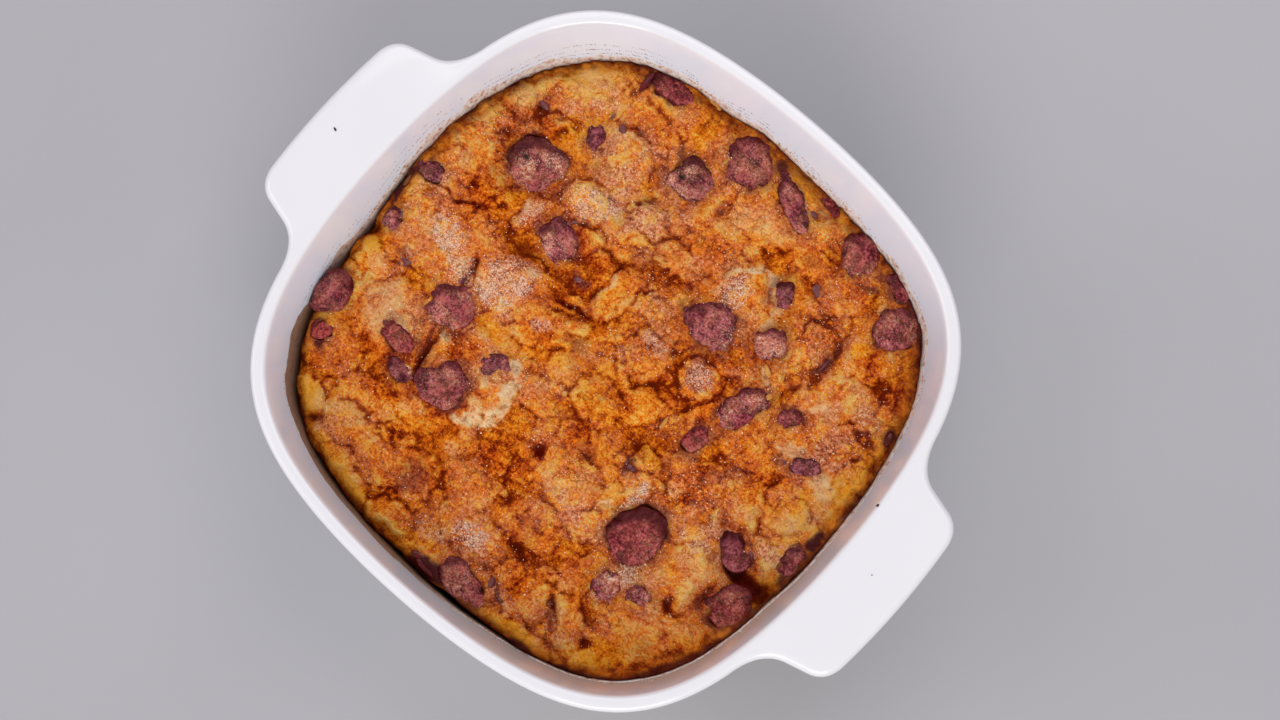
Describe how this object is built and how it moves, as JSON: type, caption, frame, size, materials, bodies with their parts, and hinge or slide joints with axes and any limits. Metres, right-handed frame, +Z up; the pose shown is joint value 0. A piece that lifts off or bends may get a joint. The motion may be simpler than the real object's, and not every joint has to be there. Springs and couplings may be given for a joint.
{
  "type": "bread pudding in a casserole",
  "caption": "Golden bread pudding with cherries, baked in a rounded square white glazed casserole with two flat tab handles.",
  "frame": {"origin": "centre of the flat underside of the dish", "axes": "+X runs along the two tab handles, +Y across the dish, +Z up out of the dish"},
  "size_m": [0.3, 0.248, 0.076],
  "materials": {
    "white_glaze": "gloss",
    "baked_bread": "matte",
    "baked_cherry": "satin"
  },
  "bodies": {
    "root": {"baking_dish": "white_glaze", "bread_pudding": "baked_bread", "cherry_01": "baked_cherry", "cherry_02": "baked_cherry", "cherry_03": "baked_cherry", "cherry_04": "baked_cherry", "cherry_05": "baked_cherry", "cherry_06": "baked_cherry", "cherry_07": "baked_cherry", "cherry_08": "baked_cherry", "cherry_09": "baked_cherry", "cherry_10": "baked_cherry", "cherry_11": "baked_cherry", "cherry_12": "baked_cherry", "cherry_13": "baked_cherry", "cherry_14": "baked_cherry", "cherry_15": "baked_cherry", "cherry_16": "baked_cherry", "cherry_17": "baked_cherry", "cherry_18": "baked_cherry", "cherry_19": "baked_cherry", "cherry_20": "baked_cherry", "cherry_21": "baked_cherry", "cherry_22": "baked_cherry", "cherry_23": "baked_cherry", "cherry_24": "baked_cherry", "cherry_25": "baked_cherry", "cherry_26": "baked_cherry", "cherry_27": "baked_cherry", "cherry_28": "baked_cherry", "cherry_29": "baked_cherry", "cherry_30": "baked_cherry", "cherry_31": "baked_cherry", "cherry_32": "baked_cherry", "cherry_33": "baked_cherry", "cherry_34": "baked_cherry"}
  },
  "joints": []
}
